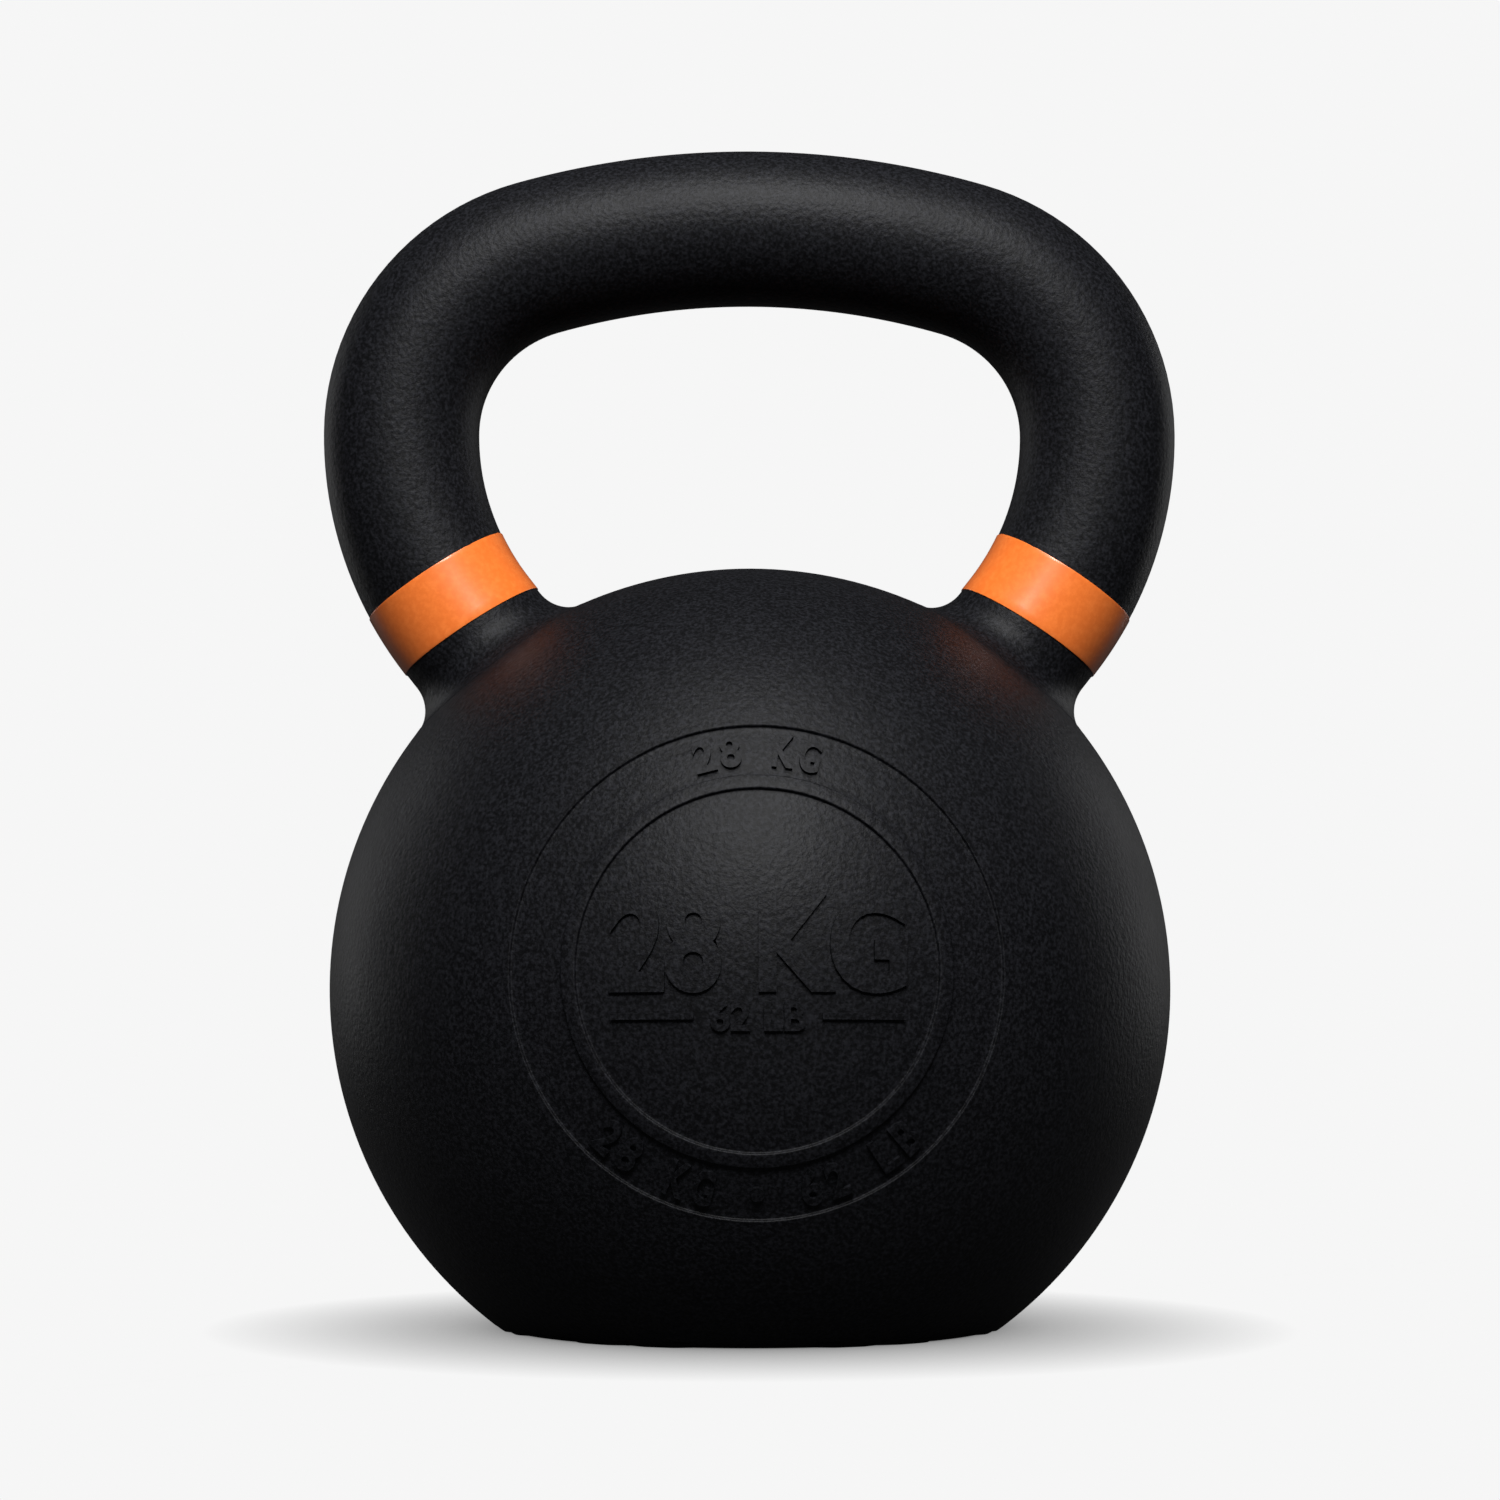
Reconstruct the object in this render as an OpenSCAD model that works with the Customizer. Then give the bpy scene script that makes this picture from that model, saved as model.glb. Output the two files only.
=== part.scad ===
// Cast-iron kettlebell with two colour bands.
//
// One iron casting holds the ball, the two horns and the grip. A thin glossy
// colour band wraps the foot of each horn. The front of the ball has a sunk
// round field with a raised ring and raised weight figures.
//
// Frame: origin at the centre of the flat that the ball stands on, +Z up,
// +X towards the right horn, and the marked face looks along -Y.
// All sizes are in millimetres.

/* [Ball] */
// Diameter of the cast ball
ball_d = 191.4; // [170:0.2:230]
// Diameter of the flat, out to where it would meet the ball in a sharp edge
base_d = 114; // [90:1:136]
// Width of the bevel that breaks the flat's edge, on each side of it
base_bevel = 1.8; // [0.6:0.1:3]

/* [Handle] */
// Finger room between the top of the ball and the underside of the grip
window_h = 62.3; // [50:0.1:80]
// Width of the handle over both horns
handle_w = 197; // [180:0.5:240]
// Diameter of the grip and the horns
grip_d = 35.8; // [28:0.2:43]
// Radius of the grip's gentle arch, along its centreline
crown_r = 178.7; // [140:0.5:260]
// Radius of the bend from grip to horn, along its centreline
corner_r = 43; // [34:0.5:52]
// Radius of the hollow fillet where a horn meets the ball
neck_fillet_r = 9; // [4:0.5:12]
// Straight length of the neck between its fillet and the bend of the horn
neck_run = 4.2; // [2:0.1:9]

/* [Colour bands] */
// Width of a band, measured along the horn
band_w = 15.3; // [8:0.1:19]
// Thickness of a band
band_film = 0.25; // [0.2:0.05:0.6]
// Bare neck between the fillet and a band
band_gap = 2.5; // [1:0.1:6]

/* [Marked field] */
// Diameter of the sunk round field
field_d = 102.5; // [92:0.5:124]
// Depth of the field below the ball
field_depth = 0.8; // [0.4:0.1:1.5]
// Angle by which the field looks upwards
field_tilt = 1.9; // [0:0.1:6]
// Inner diameter of the raised ring
ring_d = 75; // [66:0.5:80]
// Width of the raised ring
ring_w = 2.9; // [1.5:0.1:4]

/* [Weight figures] */
// Height of the large figures
large_h = 20.5; // [14:0.5:24]
// Width of a stroke of the large figures
large_stroke = 3.6; // [3:0.1:4.6]
// Height of the large figures' middle above the middle of the field
large_rise = 5.3; // [2:0.1:8]
// Height of the small line of figures
small_h = 6.2; // [4:0.1:8]
// Width of a stroke of the small line
small_stroke = 1.3; // [1:0.1:1.6]
// Depth of the small line's middle below the middle of the field
small_drop = 9.6; // [8.5:0.1:13]
// Length of each plain bar beside the small line
small_bar_w = 17; // [8:0.5:20]
// Room between the small line and the bars beside it
small_bar_gap = 3.4; // [1:0.1:6]
// Height of the figures round the rim of the field
rim_h = 7.2; // [5:0.1:8]
// Width of a stroke of the rim figures
rim_stroke = 1.5; // [1.1:0.1:1.8]
// Pitch of the rim figures, as an angle about the middle of the field
rim_pitch = 7; // [6.5:0.25:9]

/* [Hidden] */
$fn = 128;

iron = "#26282d";
orange = "#fb8236";

// What the figures say. A space is a blank and a dot is a raised stud.
large_line = "28 KG";
small_line = "62 LB";
top_line = "28 KG";
bottom_line = "28 KG . 62 LB";

ball_r = ball_d / 2;
base_r = base_d / 2;
pole_lean = 30;
grip_r = grip_d / 2;
ball_z = sqrt(ball_r * ball_r - base_r * base_r);

// Each bar of the handle, from the crown down to the neck, is stouter than the
// one before it by this much in radius and takes in its end by the lap. The
// strokes of a figure 2 meet in the same way.
stouter = 0.05;
lap = 0.3;
corner_bar_r = grip_r + stouter;
horn_bar_r = grip_r + 2 * stouter;
neck_bar_r = grip_r + 3 * stouter;

// The neck's fillet, seen along the neck from the ball's centre. It dips into
// the ball by the bite, so that the two cross cleanly.
fillet_bite = 0.05;
fillet_x = neck_bar_r + neck_fillet_r;
fillet_axial = sqrt(pow(ball_r + neck_fillet_r - fillet_bite, 2) - pow(fillet_x, 2));
fillet_foot_x = fillet_x * ball_r / (ball_r + neck_fillet_r);
neck_end = fillet_axial + neck_run;
// Distance from the ball's centre at which a neck starts, out of sight.
neck_root = 0.6 * ball_r;

// The handle's centreline is a crown arc, a corner arc that ends upright, and
// a horn arc that ends pointing at the ball's centre, where the neck begins.
centreline_top = ball_z + ball_r + window_h + grip_r;
centreline_half_w = handle_w / 2 - grip_r;
corner_x = centreline_half_w - corner_r;
crown_half_angle = asin(corner_x / (crown_r - corner_r));
crown_z = centreline_top - crown_r;
corner_z = crown_z + (crown_r - corner_r) * cos(crown_half_angle);
horn_rise = corner_z - ball_z;
horn_r = (pow(centreline_half_w, 2) + pow(horn_rise, 2) - pow(neck_end, 2)) / (2 * centreline_half_w);
horn_x = centreline_half_w - horn_r;
horn_z = corner_z;
neck_lean = atan2(horn_x, horn_rise) + atan2(horn_r, neck_end);

// A band's middle plane crosses the horn arc at this angle below the level.
band_slope = neck_lean - (band_gap + band_w / 2 - neck_run) / horn_r * 180 / PI;

field_r = field_d / 2;
ring_inner_r = ring_d / 2;
ring_outer_r = ring_inner_r + ring_w;
rim_mid_r = (ring_outer_r + field_r) / 2;
cut_over = 2;
cut_floor = 0.6 * ball_r;

// ---------------------------------------------------------------- figures

// A straight stroke from p to q.
module bar(p, q, stroke) {
    run = q - p;
    translate(p) rotate(atan2(run.y, run.x)) translate([0, -stroke / 2]) square([norm(run), stroke]);
}

// Part of a round stroke about c, from angle a to angle b, counted anticlockwise.
module bow(c, outer_r, stroke, a, b) {
    steps = 8;
    translate(c) intersection() {
        difference() {
            circle(outer_r);
            circle(outer_r - stroke);
        }
        polygon([[0, 0], for (i = [0:steps]) 2 * outer_r * [cos(a + (b - a) * i / steps),
                                                            sin(a + (b - a) * i / steps)]]);
    }
}

module loop(c, outer_r, stroke) {
    translate(c) difference() {
        circle(outer_r);
        circle(outer_r - stroke);
    }
}

// Every figure fills a cell of height h and width (h + stroke) / 2, so that
// two round bowls stack in it with one stroke shared.
function cell_w(h, stroke) = (h + stroke) / 2;

module figure_2(h, stroke) {
    w = cell_w(h, stroke);
    r = w / 2;
    mid_r = r - stroke / 2;
    foot = [0.62 * stroke, stroke / 2];
    eye = [r, h - r];
    sight = eye - foot;
    lean = atan2(sight.y, sight.x) - asin(mid_r / norm(sight));
    touch = eye + mid_r * [cos(lean - 90), sin(lean - 90)];
    bow(eye, r, stroke, lean - 90, 165);
    bar(foot, touch + lap * [cos(lean), sin(lean)], stroke - 2 * stouter);
    square([w, stroke]);
}

module figure_6(h, stroke) {
    r = cell_w(h, stroke) / 2;
    loop([r, r], r, stroke);
    translate([0, r]) square([stroke, h - 2 * r]);
    bow([r, h - r], r, stroke, 20, 180);
}

module figure_8(h, stroke) {
    r = cell_w(h, stroke) / 2;
    loop([r, r], r, stroke);
    loop([r, h - r], r, stroke);
}

module letter_K(h, stroke) {
    w = cell_w(h, stroke);
    square([stroke, h]);
    intersection() {
        translate([stroke / 2, 0]) square([w - stroke / 2, h]);
        union() {
            bar([stroke / 2, 0.34 * h], [w - 0.2 * stroke, 1.08 * h], stroke);
            bar([0.9 * stroke, 0.62 * h], [w - 0.25 * stroke, -0.08 * h], stroke);
        }
    }
}

module letter_G(h, stroke) {
    w = cell_w(h, stroke);
    r = w / 2;
    bow([r, h - r], r, stroke, 20, 180);
    bow([r, r], r, stroke, 180, 360);
    translate([0, r]) square([stroke, h - 2 * r]);
    translate([w - stroke, r]) square([stroke, h / 2 - r + stroke / 2]);
    translate([r, h / 2 - stroke / 2]) square([r, stroke]);
}

module letter_L(h, stroke) {
    square([stroke, h]);
    square([cell_w(h, stroke), stroke]);
}

module letter_B(h, stroke) {
    w = cell_w(h, stroke);
    r = w / 2;
    square([stroke, h]);
    for (y = [0, h / 2 - stroke / 2, h - stroke]) translate([0, y]) square([r, stroke]);
    for (y = [r, h - r]) bow([r, y], r, stroke, -90, 90);
}

module stud(h, stroke) {
    translate([cell_w(h, stroke) / 2, h / 2]) circle(stroke);
}

module figure(sign, h, stroke) {
    if (sign == "2") figure_2(h, stroke);
    if (sign == "6") figure_6(h, stroke);
    if (sign == "8") figure_8(h, stroke);
    if (sign == "K") letter_K(h, stroke);
    if (sign == "G") letter_G(h, stroke);
    if (sign == "L") letter_L(h, stroke);
    if (sign == "B") letter_B(h, stroke);
    if (sign == ".") stud(h, stroke);
}

// Where each figure of a straight line starts. A blank takes half a pitch.
function line_starts(line, h, stroke) =
    let (pitch = cell_w(h, stroke) + 0.55 * stroke)
    [for (i = 0, x = 0; i < len(line); x = x + (line[i] == " " ? pitch / 2 : pitch), i = i + 1) x];

function line_w(line, h, stroke) = line_starts(line, h, stroke)[len(line) - 1] + cell_w(h, stroke);

// A straight line of figures with its middle at the origin.
module straight_line(line, h, stroke) {
    starts = line_starts(line, h, stroke);
    translate([-line_w(line, h, stroke) / 2, -h / 2])
        for (i = [0:len(line) - 1]) translate([starts[i], 0]) figure(line[i], h, stroke);
}

// The two plain bars beside the small line.
module small_bars() {
    reach = line_w(small_line, small_h, small_stroke) / 2 + small_bar_gap + small_bar_w / 2;
    for (x = [-reach, reach]) translate([x, 0]) square([small_bar_w, small_stroke], center = true);
}

// A line bent round the rim, with its middle at the top or the bottom of it.
module bent_line(line, top) {
    side = top ? 1 : -1;
    for (i = [0:len(line) - 1])
        rotate(side * rim_pitch * ((len(line) - 1) / 2 - i))
            translate([-cell_w(rim_h, rim_stroke) / 2, side * rim_mid_r - rim_h / 2])
                figure(line[i], rim_h, rim_stroke);
}

module all_figures() {
    translate([0, large_rise]) straight_line(large_line, large_h, large_stroke);
    translate([0, -small_drop]) {
        straight_line(small_line, small_h, small_stroke);
        small_bars();
    }
    bent_line(top_line, top = true);
    bent_line(bottom_line, top = false);
}

// ---------------------------------------------------------------- casting

// The sphere leans so that one of its poles lies inside a neck and the other
// below the flat. The cone that makes the bevel runs on out of the ball.
module ball() {
    edge_slope = acos(ball_z / ball_r);
    bevel_foot = [base_r - base_bevel, 0];
    bevel_top = [base_r + base_bevel * cos(edge_slope), base_bevel * sin(edge_slope)];
    cone_top = bevel_foot + (ball_r - bevel_foot.x) / (bevel_top.x - bevel_foot.x) * (bevel_top - bevel_foot);
    intersection() {
        translate([0, 0, ball_z]) rotate([0, pole_lean, 0]) sphere(ball_r);
        rotate_extrude() polygon([[0, 0], bevel_foot, cone_top, [ball_d, cone_top.y],
                                  [ball_d, 2 * ball_d], [0, 2 * ball_d]]);
    }
}

// Part of a bent round bar in the XZ plane, from angle a to angle b above +X.
// It runs on past a by lap_a and past b by lap_b, both measured along the bar.
module bent_bar(x, z, bend_r, bar_r, a, b, lap_a = 0, lap_b = 0) {
    start = a - lap_a / bend_r * 180 / PI;
    end = b + lap_b / bend_r * 180 / PI;
    translate([x, 0, z]) rotate([90, 0, 0])
        rotate_extrude(angle = end - start, start = start) translate([bend_r, 0]) circle(bar_r);
}

// The frame of the right neck: +Z runs from the ball's centre out along the neck.
module at_neck() {
    translate([0, 0, ball_z]) rotate([0, neck_lean, 0]) children();
}

// The straight neck and its hollow fillet, in one turned shape.
module neck() {
    at_neck() rotate_extrude() {
        translate([0, neck_root]) square([neck_bar_r, neck_end - neck_root]);
        difference() {
            translate([0, neck_root]) square([fillet_foot_x, fillet_axial - neck_root]);
            translate([fillet_x, fillet_axial]) circle(neck_fillet_r);
        }
    }
}

module horn(bar_r) {
    bent_bar(horn_x, horn_z, horn_r, bar_r, -neck_lean, 0, lap_a = lap);
}

module handle() {
    bent_bar(0, crown_z, crown_r, grip_r, 90 - crown_half_angle, 90 + crown_half_angle, lap, lap);
    for (side = [0, 1]) mirror([side, 0, 0]) {
        bent_bar(corner_x, corner_z, corner_r, corner_bar_r, 0, 90 - crown_half_angle, lap_a = lap);
        horn(horn_bar_r);
        neck();
    }
}

// What is sunk into the ball's front: the field, less its ring and figures.
// The sphere that shapes the field's floor lies on its side, because a pole in
// the middle of the field would spoil the figures there.
module sunk_field() {
    cut_h = ball_r + cut_over - cut_floor;
    translate([0, 0, ball_z]) rotate([90 - field_tilt, 0, 0]) difference() {
        translate([0, 0, cut_floor]) cylinder(h = cut_h, r = field_r);
        rotate([90, 0, 0]) sphere(ball_r - field_depth);
        translate([0, 0, cut_floor - 1]) difference() {
            cylinder(h = cut_h + 2, r = ring_outer_r);
            translate([0, 0, -1]) cylinder(h = cut_h + 4, r = ring_inner_r);
        }
        translate([0, 0, cut_floor - 1]) linear_extrude(cut_h + 2) all_figures();
    }
}

module bell_casting() {
    color(iron) difference() {
        union() {
            ball();
            handle();
        }
        sunk_field();
    }
}

// ---------------------------------------------------------------- bands

// The outside of a band lies on the horn arc and the straight top of the neck.
module band_outside() {
    horn(horn_bar_r + band_film);
    at_neck() translate([0, 0, fillet_axial])
        cylinder(h = neck_end - fillet_axial, r = neck_bar_r + band_film);
}

// A band is a skin over the horn and neck, between two parallel planes.
module colour_band() {
    color(orange) difference() {
        intersection() {
            band_outside();
            translate([horn_x + horn_r * cos(band_slope), 0, horn_z - horn_r * sin(band_slope)])
                rotate([0, band_slope, 0]) cube([2 * grip_d, 2 * grip_d, band_w], center = true);
        }
        horn(horn_bar_r);
        neck();
    }
}

module colour_band_right() {
    colour_band();
}

module colour_band_left() {
    mirror([1, 0, 0]) colour_band();
}

bell_casting();
colour_band_left();
colour_band_right();
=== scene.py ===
"""Visual model of a cast-iron kettlebell with two glossy colour bands.

The classes follow the object: the casting with its marked field, the raised
figures, the colour bands, the finishes, the studio and the camera. All sizes
are in metres. +X points to the right horn, the marked face looks along -Y,
and the flat that the ball stands on lies at z = 0.
"""

import logging
from dataclasses import dataclass
from enum import Enum
from math import acos, asin, atan2, cos, pi, radians, sin, sqrt
from typing import Callable

import bmesh
import bpy
from mathutils import Matrix, Vector


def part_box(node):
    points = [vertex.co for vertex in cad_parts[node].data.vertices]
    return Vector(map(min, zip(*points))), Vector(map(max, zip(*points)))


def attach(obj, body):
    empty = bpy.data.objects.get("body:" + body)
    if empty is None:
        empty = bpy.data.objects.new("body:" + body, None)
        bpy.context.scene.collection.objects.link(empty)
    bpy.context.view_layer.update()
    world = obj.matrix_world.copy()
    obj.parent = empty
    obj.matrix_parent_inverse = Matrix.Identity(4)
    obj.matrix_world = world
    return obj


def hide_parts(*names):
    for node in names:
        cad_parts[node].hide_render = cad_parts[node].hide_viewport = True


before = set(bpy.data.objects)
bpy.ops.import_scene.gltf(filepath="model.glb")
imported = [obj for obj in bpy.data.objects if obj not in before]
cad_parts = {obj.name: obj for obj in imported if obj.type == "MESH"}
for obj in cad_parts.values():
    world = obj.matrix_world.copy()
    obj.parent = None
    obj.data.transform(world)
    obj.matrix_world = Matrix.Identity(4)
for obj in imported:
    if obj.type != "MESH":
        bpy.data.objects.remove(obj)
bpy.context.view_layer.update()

log = logging.getLogger("kettlebell")

MM = 0.001
# A spin about -Y turns +Z towards +X.
SPIN_AXIS = (0.0, -1.0, 0.0)


class Slot(Enum):
    """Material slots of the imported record."""

    IRON = "black_powder_coat"
    BAND = "orange_gloss"


class Side(Enum):
    """The two horns, as signs of X."""

    LEFT = -1
    RIGHT = 1


# ------------------------------------------------------------------ modelling


def pick(piece: bpy.types.Object) -> None:
    """Make one object the only selected one, and the active one."""
    bpy.ops.object.select_all(action="DESELECT")
    piece.select_set(True)
    bpy.context.view_layer.objects.active = piece


def apply_modifier(piece: bpy.types.Object, kind: str, **settings: object) -> None:
    """Add a modifier to a piece and apply it at once.

    Args:
        piece: The object to change.
        kind: The modifier's type, such as "BEVEL".
        settings: Values for the modifier's own properties.
    """
    pick(piece)
    modifier = piece.modifiers.new(kind.lower(), kind)
    for name, value in settings.items():
        setattr(modifier, name, value)
    bpy.ops.object.modifier_apply(modifier=modifier.name)


def select_faces(piece: bpy.types.Object, wanted: Callable[[Vector, Vector], bool]) -> int:
    """Select the faces that pass a test, in edit mode.

    Args:
        piece: The object that is in edit mode.
        wanted: Takes a face's centre and its normal.

    Returns:
        How many faces were selected.
    """
    bpy.ops.mesh.select_mode(type="FACE")
    bpy.ops.mesh.select_all(action="DESELECT")
    mesh = bmesh.from_edit_mesh(piece.data)
    chosen = [face for face in mesh.faces if wanted(face.calc_center_median(), face.normal)]
    for face in chosen:
        face.select_set(True)
    mesh.select_flush_mode()
    bmesh.update_edit_mesh(piece.data)
    return len(chosen)


def select_edges(piece: bpy.types.Object, wanted: Callable[[Vector, Vector], bool]) -> int:
    """Select the edges whose two ends pass a test, in edit mode.

    Args:
        piece: The object that is in edit mode.
        wanted: Takes the two ends of an edge.

    Returns:
        How many edges were selected.
    """
    bpy.ops.mesh.select_mode(type="EDGE")
    bpy.ops.mesh.select_all(action="DESELECT")
    mesh = bmesh.from_edit_mesh(piece.data)
    chosen = [edge for edge in mesh.edges if wanted(edge.verts[0].co, edge.verts[1].co)]
    for edge in chosen:
        edge.select_set(True)
    mesh.select_flush_mode()
    bmesh.update_edit_mesh(piece.data)
    return len(chosen)


def fix_place(piece: bpy.types.Object) -> None:
    """Put a piece's place, turn and scale into its mesh."""
    pick(piece)
    bpy.ops.object.transform_apply(location=True, rotation=True, scale=True)


def join(pieces: list[bpy.types.Object], name: str) -> bpy.types.Object:
    """Join objects into one mesh object.

    Args:
        pieces: The objects; the first one stays.
        name: The joined object's name.

    Returns:
        The joined object.
    """
    pick(pieces[0])
    for piece in pieces:
        piece.select_set(True)
    bpy.ops.object.join()
    pieces[0].name = name
    return pieces[0]


# -------------------------------------------------------------------- sizes


@dataclass(frozen=True)
class BellSizes:
    """Driving sizes of the kettlebell, and what follows from them."""

    top: float
    ball_d: float = 191.4 * MM
    base_d: float = 114 * MM
    base_bevel: float = 1.8 * MM
    handle_w: float = 197 * MM
    grip_d: float = 35.8 * MM
    crown_r: float = 178.7 * MM
    corner_r: float = 43 * MM
    neck_fillet_r: float = 9 * MM
    neck_run: float = 4.2 * MM
    field_tilt: float = radians(1.9)

    @property
    def ball_r(self) -> float:
        """Radius of the ball."""
        return self.ball_d / 2

    @property
    def ball_z(self) -> float:
        """Height of the ball's centre above the flat."""
        return sqrt(self.ball_r**2 - (self.base_d / 2) ** 2)

    @property
    def grip_r(self) -> float:
        """Radius of the grip and the horns."""
        return self.grip_d / 2

    @property
    def centreline_top(self) -> float:
        """Height of the top of the handle's centreline."""
        return self.top - self.grip_r

    @property
    def half_w(self) -> float:
        """Distance from the middle to the centreline at its widest."""
        return self.handle_w / 2 - self.grip_r

    @property
    def corner_x(self) -> float:
        """Place of a corner arc's centre along X."""
        return self.half_w - self.corner_r

    @property
    def crown_half_angle(self) -> float:
        """Angle that the crown arc spans on each side of the middle."""
        return asin(self.corner_x / (self.crown_r - self.corner_r))

    @property
    def crown_z(self) -> float:
        """Height of the crown arc's centre."""
        return self.centreline_top - self.crown_r

    @property
    def corner_z(self) -> float:
        """Height of the corner arcs' and horn arcs' centres."""
        return self.crown_z + (self.crown_r - self.corner_r) * cos(self.crown_half_angle)

    @property
    def fillet_x(self) -> float:
        """Distance of the fillet arc's centre from the neck's axis."""
        return self.grip_r + self.neck_fillet_r

    @property
    def fillet_axial(self) -> float:
        """Distance from the ball's centre at which the fillet starts."""
        return sqrt((self.ball_r + self.neck_fillet_r) ** 2 - self.fillet_x**2)

    @property
    def neck_end(self) -> float:
        """Distance from the ball's centre at which the horn arc ends."""
        return self.fillet_axial + self.neck_run

    @property
    def horn_rise(self) -> float:
        """Height of the horn arcs' centres above the ball's centre."""
        return self.corner_z - self.ball_z

    @property
    def horn_r(self) -> float:
        """Radius of a horn arc, which ends pointing at the ball's centre."""
        return (self.half_w**2 + self.horn_rise**2 - self.neck_end**2) / (2 * self.half_w)

    @property
    def horn_x(self) -> float:
        """Place of a horn arc's centre along X."""
        return self.half_w - self.horn_r

    @property
    def neck_lean(self) -> float:
        """Angle between a neck and the upright."""
        return atan2(self.horn_x, self.horn_rise) + atan2(self.horn_r, self.neck_end)

    @property
    def ball_centre(self) -> Vector:
        """Centre of the ball."""
        return Vector((0, 0, self.ball_z))

    @property
    def field_axis(self) -> Vector:
        """Direction in which the marked field looks."""
        return Vector((0, -cos(self.field_tilt), sin(self.field_tilt)))


# -------------------------------------------------------------------- finishes


def node_group(name: str, inputs: dict[str, float], outputs: list[str]) -> bpy.types.NodeTree:
    """Start a shader node group with a Vector input.

    Args:
        name: The group's name.
        inputs: Names and values of its number inputs.
        outputs: Names of its number outputs.

    Returns:
        The group, with a node called IN and one called OUT.
    """
    group = bpy.data.node_groups.new(name, "ShaderNodeTree")
    group.interface.new_socket("Vector", in_out="INPUT", socket_type="NodeSocketVector")
    for label, value in inputs.items():
        socket = group.interface.new_socket(label, in_out="INPUT", socket_type="NodeSocketFloat")
        socket.default_value = value
    for label in outputs:
        group.interface.new_socket(label, in_out="OUTPUT", socket_type="NodeSocketFloat")
    group.nodes.new("NodeGroupInput").name = "IN"
    group.nodes.new("NodeGroupOutput").name = "OUT"
    return group


def grain_group() -> bpy.types.NodeTree:
    """Make the sandy grain: fine noise with small round pits and lumps.

    Returns:
        A group that puts out a height and a speckle mask.
    """
    group = node_group("sandy_grain", {"Grains": 1500.0, "Lumps": 420.0}, ["Height", "Speckle"])
    nodes, links = group.nodes, group.links
    source, sink = nodes["IN"], nodes["OUT"]
    fine = nodes.new("ShaderNodeTexNoise")
    fine.inputs["Detail"].default_value = 3.0
    fine.inputs["Roughness"].default_value = 0.62
    lumps = nodes.new("ShaderNodeTexVoronoi")
    lumps.feature = "SMOOTH_F1"
    lumps.inputs["Smoothness"].default_value = 0.6
    links.new(source.outputs["Vector"], fine.inputs["Vector"])
    links.new(source.outputs["Grains"], fine.inputs["Scale"])
    links.new(source.outputs["Vector"], lumps.inputs["Vector"])
    links.new(source.outputs["Lumps"], lumps.inputs["Scale"])
    height = nodes.new("ShaderNodeMath")
    height.operation = "MULTIPLY_ADD"
    height.inputs[1].default_value = -0.55
    links.new(lumps.outputs["Distance"], height.inputs[0])
    links.new(fine.outputs[0], height.inputs[2])
    speckle = nodes.new("ShaderNodeMapRange")
    speckle.inputs["From Min"].default_value = 0.42
    speckle.inputs["From Max"].default_value = 0.68
    links.new(fine.outputs[0], speckle.inputs["Value"])
    links.new(height.outputs[0], sink.inputs["Height"])
    links.new(speckle.outputs[0], sink.inputs["Speckle"])
    return group


def mottle_group() -> bpy.types.NodeTree:
    """Make the slow mottling that a sprayed coat has.

    Returns:
        A group that puts out a mask.
    """
    group = node_group("slow_mottle", {"Patches": 38.0}, ["Mask"])
    nodes, links = group.nodes, group.links
    cloud = nodes.new("ShaderNodeTexNoise")
    cloud.inputs["Detail"].default_value = 4.0
    links.new(nodes["IN"].outputs["Vector"], cloud.inputs["Vector"])
    links.new(nodes["IN"].outputs["Patches"], cloud.inputs["Scale"])
    links.new(cloud.outputs[0], nodes["OUT"].inputs["Mask"])
    return group


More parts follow.
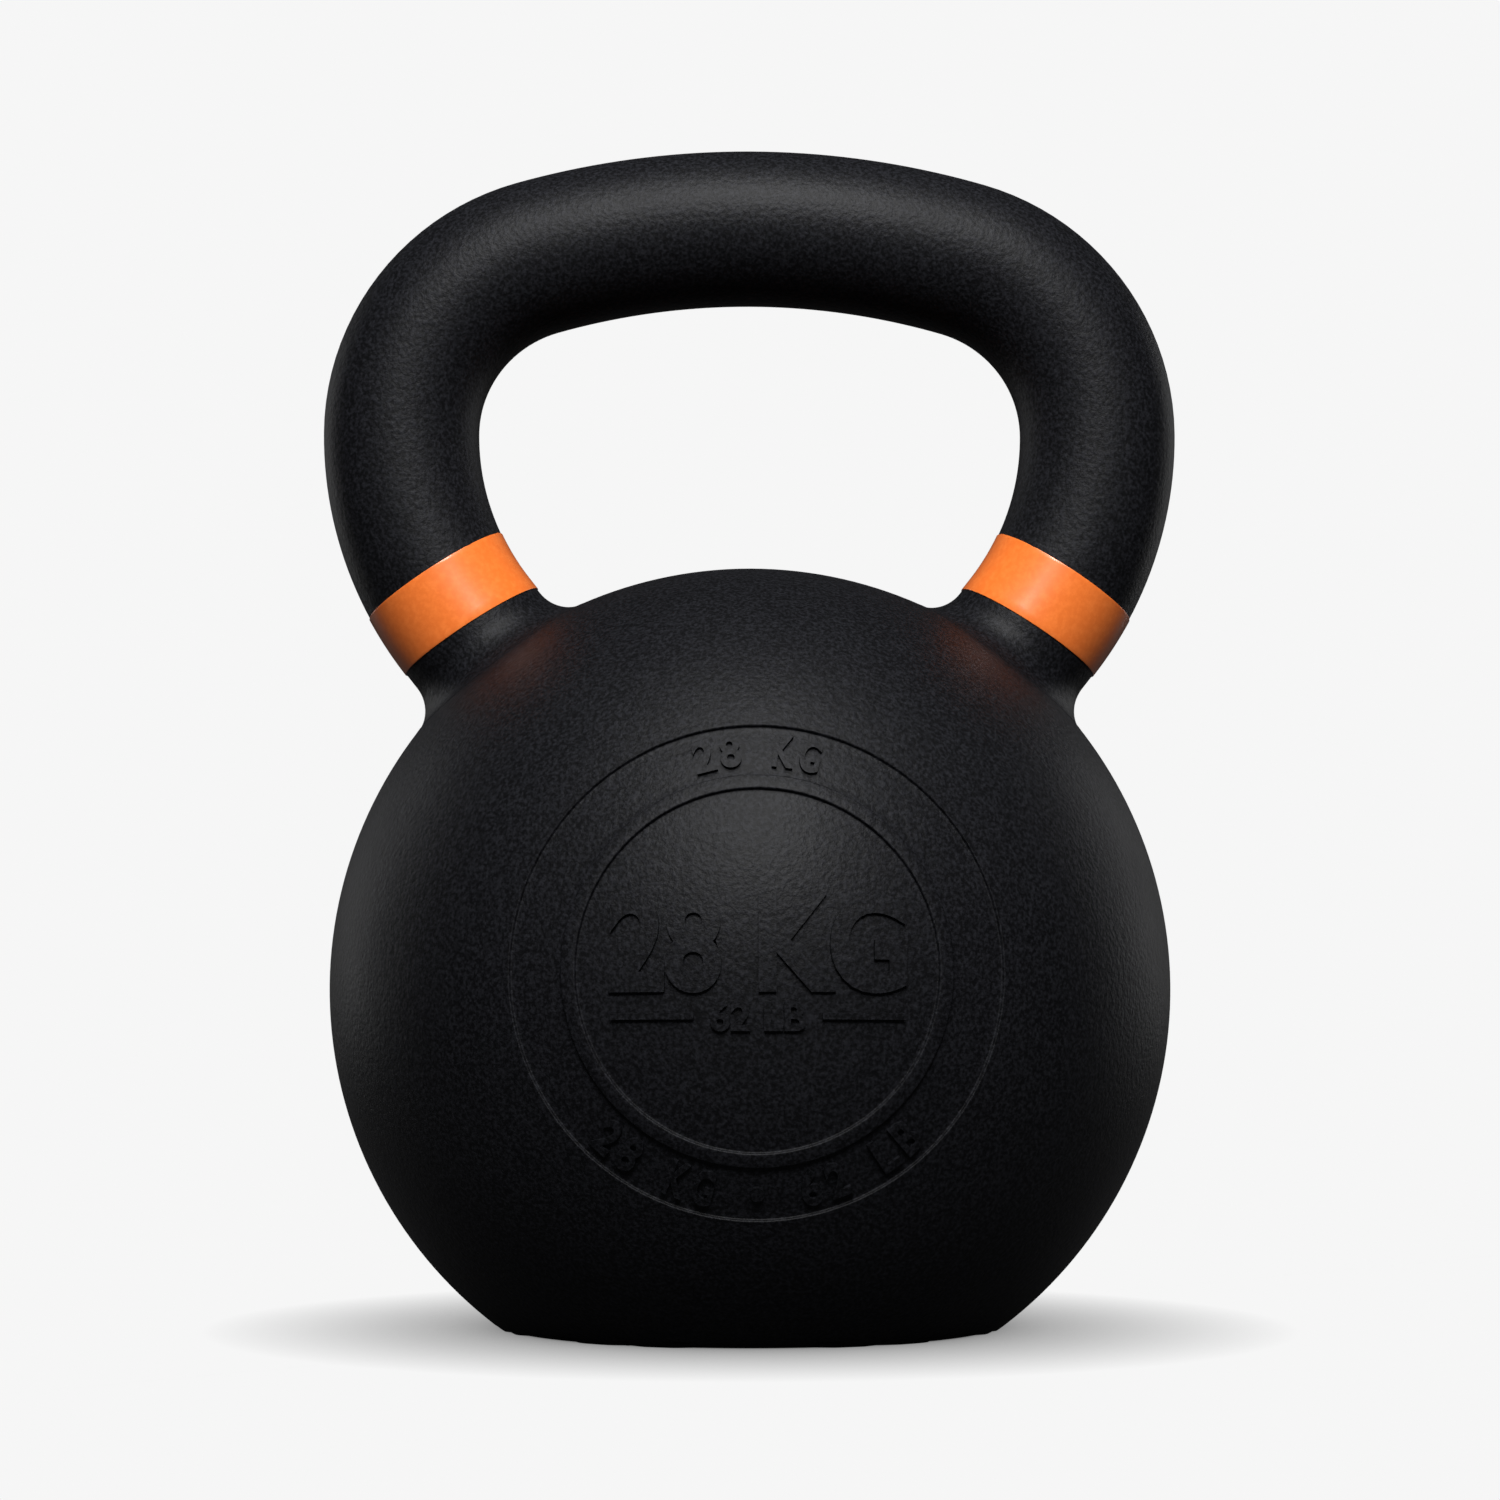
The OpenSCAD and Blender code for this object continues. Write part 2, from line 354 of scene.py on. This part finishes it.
@dataclass(frozen=True)
class Coat:
    """A sprayed finish: a colour with grain, mottling and its own gloss."""

    name: str
    slot: Slot
    dark: tuple[float, float, float]
    pale: tuple[float, float, float]
    rough_low: float
    rough_high: float
    grains: float
    lumps: float
    bump: float
    bump_height: float
    specular: float
    clear_coat: float = 0.0
    clear_rough: float = 0.1

    def make(self, grain: bpy.types.NodeTree, mottle: bpy.types.NodeTree) -> bpy.types.Material:
        """Build the node material.

        Args:
            grain: The shared grain group.
            mottle: The shared mottle group.

        Returns:
            The material.
        """
        material = bpy.data.materials.new(self.name)
        material.use_nodes = True
        nodes, links = material.node_tree.nodes, material.node_tree.links
        shader = nodes["Principled BSDF"]
        shader.inputs["Specular IOR Level"].default_value = self.specular
        shader.inputs["Coat Weight"].default_value = self.clear_coat
        shader.inputs["Coat Roughness"].default_value = self.clear_rough
        place = nodes.new("ShaderNodeTexCoord")
        sand = nodes.new("ShaderNodeGroup")
        sand.node_tree = grain
        sand.inputs["Grains"].default_value = self.grains
        sand.inputs["Lumps"].default_value = self.lumps
        cloud = nodes.new("ShaderNodeGroup")
        cloud.node_tree = mottle
        colour = nodes.new("ShaderNodeMix")
        colour.data_type = "RGBA"
        colour.inputs["A"].default_value = (*self.dark, 1)
        colour.inputs["B"].default_value = (*self.pale, 1)
        rough = nodes.new("ShaderNodeMapRange")
        rough.inputs["To Min"].default_value = self.rough_low
        rough.inputs["To Max"].default_value = self.rough_high
        bump = nodes.new("ShaderNodeBump")
        bump.inputs["Strength"].default_value = self.bump
        bump.inputs["Distance"].default_value = self.bump_height
        links.new(place.outputs["Object"], sand.inputs["Vector"])
        links.new(place.outputs["Object"], cloud.inputs["Vector"])
        links.new(sand.outputs["Speckle"], colour.inputs["Factor"])
        links.new(colour.outputs["Result"], shader.inputs["Base Color"])
        links.new(cloud.outputs["Mask"], rough.inputs["Value"])
        links.new(rough.outputs[0], shader.inputs["Roughness"])
        links.new(sand.outputs["Height"], bump.inputs["Height"])
        links.new(bump.outputs[0], shader.inputs["Normal"])
        return material


POWDER_COAT = Coat("textured_black_powder_coat", Slot.IRON, (0.0028, 0.0029, 0.0036), (0.0155, 0.016, 0.0195),
                   0.42, 0.56, grains=1250.0, lumps=700.0, bump=0.55, bump_height=0.25 * MM, specular=0.135)
BAND_ENAMEL = Coat("glossy_orange_enamel", Slot.BAND, (0.93, 0.195, 0.028), (1.0, 0.235, 0.04),
                   0.3, 0.38, grains=700.0, lumps=240.0, bump=0.1, bump_height=0.08 * MM, specular=0.5,
                   clear_coat=0.6, clear_rough=0.16)


# -------------------------------------------------------------------- casting


@dataclass
class Casting:
    """The iron casting: the ball with its sunk field, and the handle."""

    sizes: BellSizes
    ball_segments: int = 224
    ball_rings: int = 144
    tube_segments: int = 96
    field_r: float = 51.25 * MM
    field_depth: float = 0.8 * MM
    ring_inner_r: float = 37.5 * MM
    ring_outer_r: float = 40.4 * MM
    field_edge_round: float = 0.32 * MM

    def ball(self) -> bpy.types.Object:
        """Build the ball, its sunk field and its flat.

        Returns:
            A closed mesh.
        """
        sizes = self.sizes
        bpy.ops.object.select_all(action="DESELECT")
        bpy.ops.mesh.primitive_uv_sphere_add(
            segments=self.ball_segments, ring_count=self.ball_rings, radius=sizes.ball_r,
            location=sizes.ball_centre, rotation=(pi / 2 - sizes.field_tilt, 0, 0))
        ball = bpy.context.object
        fix_place(ball)
        bpy.ops.object.mode_set(mode="EDIT")
        self.sink_field(ball)
        self.cut_flat(ball)
        bpy.ops.object.mode_set(mode="OBJECT")
        return ball

    def off_axis(self, point: Vector) -> float:
        """Distance of a point from the field's axis, or a large one behind the ball."""
        axis = self.sizes.field_axis
        arm = point - self.sizes.ball_centre
        along = arm.dot(axis)
        return (arm - along * axis).length if along > 0 else self.sizes.ball_d

    def sink_field(self, ball: bpy.types.Object) -> None:
        """Sink the round field on both sides of its raised ring, and round the edges."""
        sizes = self.sizes
        for rim in (self.ring_inner_r, self.ring_outer_r, self.field_r):
            depth = sqrt(sizes.ball_r**2 - rim**2)
            bpy.ops.mesh.select_all(action="SELECT")
            bpy.ops.mesh.bisect(plane_co=sizes.ball_centre + depth * sizes.field_axis,
                                plane_no=sizes.field_axis)
        for inner, outer in ((0, self.ring_inner_r), (self.ring_outer_r, self.field_r)):
            select_faces(ball, lambda centre, normal: inner < self.off_axis(centre) < outer)
            bpy.ops.mesh.extrude_region_shrink_fatten(
                TRANSFORM_OT_shrink_fatten={"value": -self.field_depth, "use_even_offset": False})
        near = 0.05 * MM
        rims = (self.ring_inner_r, self.ring_outer_r, self.field_r)

        def on_rim(point: Vector) -> bool:
            """Say whether a point lies on a rim, at the ball's level or the field's."""
            arm = (point - sizes.ball_centre).length
            off = self.off_axis(point) * sizes.ball_r / arm
            return any(abs(off - rim) < near for rim in rims)

        select_edges(ball, lambda p, q: on_rim(p) and on_rim(q)
                     and abs((p - sizes.ball_centre).length - (q - sizes.ball_centre).length) < near)
        bpy.ops.mesh.bevel(offset=self.field_edge_round, offset_type="OFFSET", segments=3, affect="EDGES")

    def cut_flat(self, ball: bpy.types.Object) -> None:
        """Cut the ball off at the ground and round the flat's edge."""
        sizes = self.sizes
        bpy.ops.mesh.select_mode(type="VERT")
        bpy.ops.mesh.select_all(action="SELECT")
        bpy.ops.mesh.bisect(plane_co=(0, 0, 0), plane_no=(0, 0, 1), use_fill=True, clear_inner=True)
        near = 0.01 * MM
        select_edges(ball, lambda p, q: abs(p.z) < near and abs(q.z) < near)
        bpy.ops.mesh.bevel(offset=sizes.base_bevel, offset_type="OFFSET", segments=4, affect="EDGES")

    def handle(self) -> bpy.types.Object:
        """Build the grip, the horns and the flared necks as one closed tube.

        Returns:
            A closed mesh whose two ends lie inside the ball.
        """
        sizes = self.sizes
        bpy.ops.object.select_all(action="DESELECT")
        bpy.ops.mesh.primitive_circle_add(
            vertices=self.tube_segments, radius=sizes.grip_r, fill_type="NOTHING",
            location=(0, 0, sizes.centreline_top), rotation=(0, pi / 2, 0))
        tube = bpy.context.object
        fix_place(tube)
        bpy.ops.object.mode_set(mode="EDIT")
        bpy.ops.mesh.select_all(action="SELECT")
        arcs = ((0, sizes.crown_z, sizes.crown_half_angle, 18),
                (sizes.corner_x, sizes.corner_z, pi / 2 - sizes.crown_half_angle, 22),
                (sizes.horn_x, sizes.corner_z, sizes.neck_lean, 24))
        for x, z, angle, steps in arcs:
            bpy.ops.mesh.spin(steps=steps, angle=angle, center=(x, 0, z), axis=SPIN_AXIS)
        self.flare(tube)
        bpy.ops.mesh.edge_face_add()
        bpy.ops.object.mode_set(mode="OBJECT")
        apply_modifier(tube, "MIRROR", use_axis=(True, False, False), merge_threshold=0.01 * MM)
        bpy.ops.object.mode_set(mode="EDIT")
        bpy.ops.mesh.select_all(action="SELECT")
        bpy.ops.mesh.normals_make_consistent(inside=False)
        bpy.ops.object.mode_set(mode="OBJECT")
        return tube

    def flare(self, tube: bpy.types.Object) -> None:
        """Run the neck on to the ball, opening out along its hollow fillet."""
        sizes = self.sizes
        out = Vector((sin(sizes.neck_lean), 0, cos(sizes.neck_lean)))
        bite = radians(5)
        last = atan2(sizes.fillet_axial, sizes.fillet_x) + bite
        steps = 14
        stations = [(sizes.fillet_axial, sizes.grip_r)]
        for step in range(1, steps + 1):
            turn = last * step / steps
            stations.append((sizes.fillet_axial - sizes.neck_fillet_r * sin(turn),
                             sizes.fillet_x - sizes.neck_fillet_r * cos(turn)))
        stations.append((0.7 * sizes.ball_r, 0.8 * sizes.grip_r))
        at, radius = sizes.neck_end, sizes.grip_r
        for axial, wider in stations:
            bpy.ops.mesh.extrude_edges_move(
                TRANSFORM_OT_translate={"value": (axial - at) * out})
            mesh = bmesh.from_edit_mesh(tube.data)
            middle = sizes.ball_centre + axial * out
            bmesh.ops.scale(mesh, vec=Vector((wider / radius,) * 3), space=Matrix.Translation(-middle),
                            verts=[vert for vert in mesh.verts if vert.select])
            bmesh.update_edit_mesh(tube.data)
            at, radius = axial, wider

    def build(self) -> bpy.types.Object:
        """Build the whole casting without its figures.

        Returns:
            The joined casting.
        """
        ball, tube = self.ball(), self.handle()
        apply_modifier(ball, "BOOLEAN", operation="UNION", solver="EXACT", object=tube)
        bpy.data.objects.remove(tube)
        ball.name = "iron_casting"
        return ball


@dataclass
class Figures:
    """The raised weight figures in the field, at the level of the ball."""

    sizes: BellSizes
    root: float = 1.3 * MM
    edge_round: float = 0.3 * MM
    grid: float = 2.6 * MM
    large_h: float = 20.5 * MM
    large_w: float = 61 * MM
    large_rise: float = 5.3 * MM
    small_h: float = 6.2 * MM
    small_w: float = 19.4 * MM
    small_drop: float = 9.6 * MM
    bar_w: float = 17 * MM
    bar_h: float = 1.3 * MM
    bar_reach: float = 21.6 * MM
    rim_h: float = 7.2 * MM
    rim_w: float = 4.35 * MM
    rim_r: float = 45.8 * MM
    rim_pitch: float = radians(7)

    def words(self, line: str, height: float, width: float, weight: float) -> bpy.types.Object:
        """Make flat figures of a given size, centred on the origin.

        Args:
            line: What the figures say.
            height: Height of the capitals.
            width: Width of the whole line.
            weight: How much each stroke is thickened, as a share of the height.

        Returns:
            A flat mesh.
        """
        bpy.ops.object.select_all(action="DESELECT")
        bpy.ops.object.text_add()
        text = bpy.context.object
        text.data.body = line
        text.data.offset = weight
        text.data.resolution_u = 6
        bpy.ops.object.convert(target="MESH")
        mesh = bpy.context.object
        bpy.ops.object.origin_set(type="ORIGIN_GEOMETRY", center="BOUNDS")
        mesh.location = (0, 0, 0)
        mesh.scale = (width / mesh.dimensions.x, height / mesh.dimensions.y, 1)
        fix_place(mesh)
        return mesh

    def bar(self, x: float) -> bpy.types.Object:
        """Make one plain bar beside the small line."""
        bpy.ops.object.select_all(action="DESELECT")
        bpy.ops.mesh.primitive_plane_add(size=1, location=(x, -self.small_drop, 0))
        plane = bpy.context.object
        plane.scale = (self.bar_w, self.bar_h, 1)
        fix_place(plane)
        return plane

    def rim_line(self, line: str, top: bool) -> list[bpy.types.Object]:
        """Set single figures round the rim of the field.

        Args:
            line: What the figures say; a space is a blank and a dot is a stud.
            top: Whether the line runs over the top or under the bottom.

        Returns:
            The flat figures.
        """
        side = 1 if top else -1
        made = []
        for place, sign in enumerate(line):
            if sign == " ":
                continue
            turn = side * self.rim_pitch * ((len(line) - 1) / 2 - place)
            if sign == ".":
                bpy.ops.object.select_all(action="DESELECT")
                bpy.ops.mesh.primitive_circle_add(vertices=24, radius=self.rim_w / 3, fill_type="NGON")
                figure = bpy.context.object
            else:
                figure = self.words(sign, self.rim_h, self.rim_w, 0.03)
            figure.location = (-side * self.rim_r * sin(turn), side * self.rim_r * cos(turn), 0)
            figure.rotation_euler = (0, 0, turn)
            fix_place(figure)
            made.append(figure)
        return made

    def lay_out(self) -> bpy.types.Object:
        """Lay all the figures out flat.

        Returns:
            One flat mesh.
        """
        large = self.words("28 KG", self.large_h, self.large_w, 0.03)
        large.location.y = self.large_rise
        fix_place(large)
        small = self.words("62 LB", self.small_h, self.small_w, 0.03)
        small.location.y = -self.small_drop
        fix_place(small)
        bars = [self.bar(x) for x in (-self.bar_reach, self.bar_reach)]
        rims = self.rim_line("28 KG", top=True) + self.rim_line("28 KG . 62 LB", top=False)
        return join([large, small, *bars, *rims], "raised_figures")

    def build(self) -> bpy.types.Object:
        """Wrap the figures on the ball and give them their height.

        Returns:
            The figures as closed solids with rounded edges.
        """
        flat = self.lay_out()
        pick(flat)
        bpy.ops.object.mode_set(mode="EDIT")
        bpy.ops.mesh.select_all(action="SELECT")
        bpy.ops.mesh.remove_doubles(threshold=0.01 * MM)
        bpy.ops.mesh.dissolve_limited(angle_limit=radians(1))
        steps = int(self.rim_r / self.grid) + 2
        for step in range(-steps, steps + 1):
            for axis in (Vector((1, 0, 0)), Vector((0, 1, 0))):
                bpy.ops.mesh.select_all(action="SELECT")
                bpy.ops.mesh.bisect(plane_co=(step + 0.37) * self.grid * axis, plane_no=axis)
        bpy.ops.object.mode_set(mode="OBJECT")
        flat.location = self.sizes.ball_centre
        flat.rotation_euler = (pi / 2 - self.sizes.field_tilt, 0, 0)
        bpy.ops.object.select_all(action="DESELECT")
        bpy.ops.mesh.primitive_uv_sphere_add(segments=512, ring_count=256, radius=self.sizes.ball_r,
                                             location=self.sizes.ball_centre)
        former = bpy.context.object
        apply_modifier(flat, "SHRINKWRAP", wrap_method="PROJECT", use_project_z=True,
                       use_positive_direction=True, use_negative_direction=False, target=former)
        bpy.data.objects.remove(former)
        apply_modifier(flat, "SOLIDIFY", thickness=self.root, offset=-1)
        apply_modifier(flat, "BEVEL", width=self.edge_round, segments=2, limit_method="ANGLE",
                       angle_limit=radians(50), use_clamp_overlap=True)
        fix_place(flat)
        bpy.ops.object.mode_set(mode="EDIT")
        bpy.ops.mesh.select_all(action="SELECT")
        bpy.ops.mesh.remove_doubles(threshold=0.004 * MM)
        bpy.ops.object.mode_set(mode="OBJECT")
        return flat


@dataclass
class ColourBand:
    """A thin glossy band round the foot of one horn."""

    sizes: BellSizes
    side: Side
    width: float = 15.3 * MM
    film: float = 0.25 * MM
    under: float = 0.15 * MM
    gap: float = 2.5 * MM
    lip: float = 0.1 * MM

    def build(self) -> bpy.types.Object:
        """Sweep the band along the horn and trim it between two parallel planes.

        Returns:
            A closed ring.
        """
        sizes = self.sizes
        bpy.ops.object.select_all(action="DESELECT")
        bpy.ops.mesh.primitive_circle_add(
            vertices=96, radius=sizes.grip_r - self.under, fill_type="NOTHING",
            location=(sizes.half_w, 0, sizes.corner_z), rotation=(0, 0, 0))
        band = bpy.context.object
        fix_place(band)
        bpy.ops.object.mode_set(mode="EDIT")
        bpy.ops.mesh.select_all(action="SELECT")
        bpy.ops.mesh.spin(steps=36, angle=sizes.neck_lean, center=(sizes.horn_x, 0, sizes.corner_z), axis=SPIN_AXIS)
        out = Vector((sin(sizes.neck_lean), 0, cos(sizes.neck_lean)))
        bpy.ops.mesh.extrude_edges_move(TRANSFORM_OT_translate={"value": -sizes.neck_run * out})
        slope = sizes.neck_lean - (self.gap + self.width / 2 - sizes.neck_run) / sizes.horn_r
        middle = Vector((sizes.horn_x + sizes.horn_r * cos(slope), 0,
                         sizes.corner_z - sizes.horn_r * sin(slope)))
        along = Vector((sin(slope), 0, cos(slope)))
        for end in (-1, 1):
            bpy.ops.mesh.select_all(action="SELECT")
            bpy.ops.mesh.bisect(plane_co=middle + end * self.width / 2 * along,
                                plane_no=end * along, clear_outer=True)
        bpy.ops.mesh.select_all(action="SELECT")
        bpy.ops.mesh.normals_make_consistent(inside=False)
        bpy.ops.object.mode_set(mode="OBJECT")
        apply_modifier(band, "SOLIDIFY", thickness=self.under + self.film, offset=1)
        apply_modifier(band, "BEVEL", width=self.lip, segments=3, limit_method="ANGLE",
                       angle_limit=radians(40))
        if self.side is Side.LEFT:
            band.scale.x = -1
            fix_place(band)
            bpy.ops.object.mode_set(mode="EDIT")
            bpy.ops.mesh.select_all(action="SELECT")
            bpy.ops.mesh.normals_make_consistent(inside=False)
            bpy.ops.object.mode_set(mode="OBJECT")
        band.name = f"{self.side.name.lower()}_band_ring"
        return band


# -------------------------------------------------------------------- studio


@dataclass
class Studio:
    """A pale floor, a soft key light from above the front, and the surroundings."""

    pale: float = 0.922
    dim: float = 0.012
    gloss_share: float = 0.03

    def seen_share(self, tree: bpy.types.NodeTree) -> bpy.types.NodeSocket:
        """Make the share by which a ray sees the pale backdrop.

        Args:
            tree: The material or world tree.

        Returns:
            A number socket: whole for the camera, less for gloss and glass.
        """
        path = tree.nodes.new("ShaderNodeLightPath")
        both = tree.nodes.new("ShaderNodeMath")
        both.operation = "MAXIMUM"
        tree.links.new(path.outputs["Is Glossy Ray"], both.inputs[0])
        tree.links.new(path.outputs["Is Transmission Ray"], both.inputs[1])
        share = tree.nodes.new("ShaderNodeMath")
        share.operation = "MULTIPLY_ADD"
        share.use_clamp = True
        share.inputs[1].default_value = self.gloss_share
        tree.links.new(both.outputs[0], share.inputs[0])
        tree.links.new(path.outputs["Is Camera Ray"], share.inputs[2])
        return share.outputs[0]

    def surroundings(self) -> None:
        """Make the world: pale to the eye, dim as a light."""
        world = bpy.data.worlds.new("studio")
        bpy.context.scene.world = world
        world.use_nodes = True
        tree = world.node_tree
        shade = tree.nodes.new("ShaderNodeMix")
        shade.data_type = "RGBA"
        shade.inputs["A"].default_value = (self.dim, self.dim, self.dim * 1.1, 1)
        shade.inputs["B"].default_value = (self.pale, self.pale, self.pale, 1)
        tree.links.new(self.seen_share(tree), shade.inputs["Factor"])
        tree.links.new(shade.outputs["Result"], tree.nodes["Background"].inputs["Color"])

    def floor(self) -> None:
        """Make the floor: pale to the eye, with a soft painted contact shadow."""
        bpy.ops.object.select_all(action="DESELECT")
        bpy.ops.mesh.primitive_plane_add(size=60)
        floor = bpy.context.object
        floor.name = "floor"
        material = bpy.data.materials.new("pale_floor")
        material.use_nodes = True
        tree = material.node_tree
        nodes, links = tree.nodes, tree.links
        shader = nodes["Principled BSDF"]
        shader.inputs["Base Color"].default_value = (0.03, 0.03, 0.032, 1)
        shader.inputs["Roughness"].default_value = 0.9
        # Painted contact shadow: the floor's glow is darkened to grey wherever ambient occlusion finds the ball
        # close by, not by the lamps.
        shadow = nodes.new("ShaderNodeAmbientOcclusion")
        shadow.samples = 16
        shadow.inputs["Distance"].default_value = 0.05
        glow = nodes.new("ShaderNodeEmission")
        painted_shadow_tone = nodes.new("ShaderNodeMix")
        painted_shadow_tone.data_type = "RGBA"
        painted_shadow_tone.inputs["A"].default_value = (0.2, 0.2, 0.2, 1)
        painted_shadow_tone.inputs["B"].default_value = (self.pale, self.pale, self.pale, 1)
        mix = nodes.new("ShaderNodeMixShader")
        links.new(shadow.outputs["AO"], painted_shadow_tone.inputs["Factor"])
        links.new(painted_shadow_tone.outputs["Result"], glow.inputs["Color"])
        links.new(self.seen_share(tree), mix.inputs["Fac"])
        links.new(shader.outputs[0], mix.inputs[1])
        links.new(glow.outputs[0], mix.inputs[2])
        links.new(mix.outputs[0], nodes["Material Output"].inputs["Surface"])
        floor.data.materials.append(material)

    def softbox(self, name: str, place: Vector, aim: Vector, size: tuple[float, float], watts: float) -> None:
        """Hang one softbox.

        Args:
            name: The lamp's name.
            place: Where it hangs.
            aim: What it looks at.
            size: Its width and height.
            watts: Its power.
        """
        bpy.ops.object.light_add(type="AREA", location=place)
        lamp = bpy.context.object
        lamp.name = name
        lamp.data.shape = "RECTANGLE"
        lamp.data.size, lamp.data.size_y = size
        lamp.data.energy = watts
        lamp.rotation_euler = (aim - place).to_track_quat("-Z", "Y").to_euler()

    def build(self) -> None:
        """Build the floor, the world and the lamps."""
        self.surroundings()
        self.floor()
        self.softbox("front", Vector((0, -1.02, 0.93)), Vector((0, 0, 0.12)), (0.62, 0.45), 17)
        self.softbox("top", Vector((0, -0.25, 0.56)), Vector((0, 0, 0.27)), (0.3, 0.12), 1.2)
        for side in Side:
            self.softbox(f"rim_{side.name.lower()}", Vector((side.value * 0.85, 0.75, 0.3)),
                         Vector((0, 0, 0.12)), (0.25, 0.7), 1)


@dataclass
class Viewpoint:
    """The camera, in front of the marked face and a little to its left."""

    distance: float = 0.8155
    height: float = 72.5 * MM
    pitch: float = radians(4.12)
    turn: float = radians(1)
    lens: float = 85.2

    def build(self) -> None:
        """Set up the scene's camera."""
        place = (-self.distance * sin(self.turn), -self.distance * cos(self.turn), self.height)
        bpy.ops.object.camera_add(location=place, rotation=(pi / 2 + self.pitch, 0, -self.turn))
        camera = bpy.context.object
        camera.data.lens = self.lens
        camera.data.clip_start = 0.01
        bpy.context.scene.camera = camera


# -------------------------------------------------------------------- assembly


def dress(piece: bpy.types.Object, material: bpy.types.Material, nodes: list[str]) -> None:
    """Finish a piece and tie it to the frame.

    Args:
        piece: The finished mesh.
        material: Its material.
        nodes: The CAD nodes that the piece stands for.
    """
    piece.data.materials.clear()
    piece.data.materials.append(material)
    pick(piece)
    bpy.ops.object.shade_smooth_by_angle(angle=radians(34))
    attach(piece, "root")
    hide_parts(*nodes)
    log.info("%s: %d faces", piece.name, len(piece.data.polygons))


def main() -> None:
    """Build the kettlebell, the studio and the camera."""
    logging.basicConfig(level=logging.INFO, format="%(name)s %(message)s")
    bpy.context.scene.view_settings.view_transform = "Standard"
    sizes = BellSizes(top=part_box("bell_casting")[1][2])
    grain, mottle = grain_group(), mottle_group()
    iron = POWDER_COAT.make(grain, mottle)
    enamel = BAND_ENAMEL.make(grain, mottle)
    dress(Casting(sizes).build(), iron, ["bell_casting"])
    dress(Figures(sizes).build(), iron, ["bell_casting"])
    for side in Side:
        band = ColourBand(sizes, side).build()
        dress(band, enamel, [f"colour_band_{side.name.lower()}"])
    Studio().build()
    Viewpoint().build()


if __name__ == "__main__":
    main()
